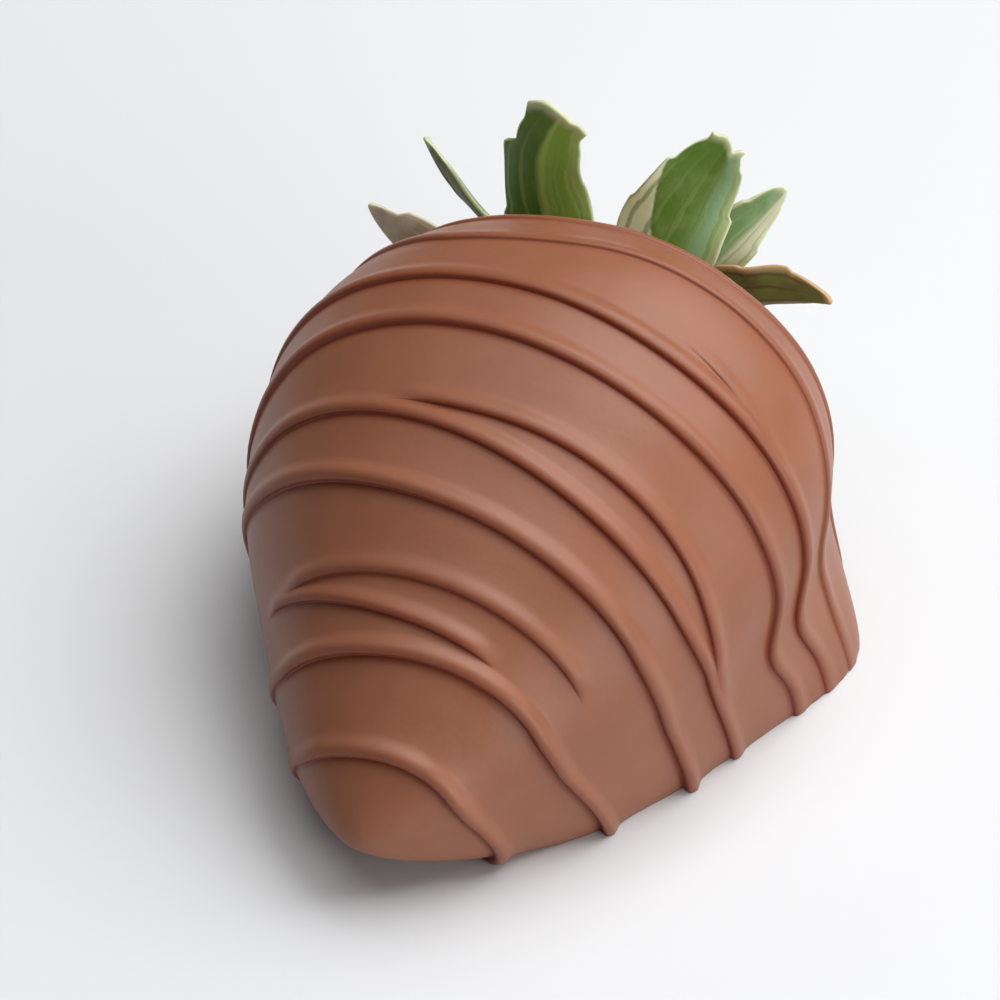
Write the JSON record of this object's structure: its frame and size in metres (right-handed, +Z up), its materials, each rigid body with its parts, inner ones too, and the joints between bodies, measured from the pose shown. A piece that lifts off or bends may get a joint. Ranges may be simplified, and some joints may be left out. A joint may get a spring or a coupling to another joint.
{
  "type": "chocolate coated strawberry",
  "caption": "Strawberry dipped in milk chocolate, ringed with raised drizzle strands, lying on a flat foot of set chocolate, with a crown of green leaves at its blunt end.",
  "frame": {"origin": "middle of the whole piece's footprint, on the plate", "axes": "+Y from the tip towards the leaves, +Z up from the plate"},
  "size_m": [0.0446, 0.0588, 0.0306],
  "materials": {
    "milk_chocolate": "satin milk chocolate",
    "leaf_green": "fresh leaf, slightly waxy",
    "leaf_dry": "dry curled leaf, matte",
    "calyx_green": "pale green stem"
  },
  "bodies": {
    "root": {"chocolate_coat": "milk_chocolate", "calyx_disc": "calyx_green", "stem_stub": "calyx_green", "leaf_1": "leaf_green", "leaf_2": "leaf_green", "leaf_3": "leaf_dry", "leaf_4": "leaf_green", "leaf_5": "leaf_green", "leaf_6": "leaf_green", "leaf_7": "leaf_green", "leaf_8": "leaf_green", "leaf_9": "leaf_green", "outer_leaf_1": "leaf_green", "outer_leaf_2": "leaf_green", "outer_leaf_3": "leaf_green", "outer_leaf_4": "leaf_green", "outer_leaf_5": "leaf_green"}
  },
  "joints": []
}
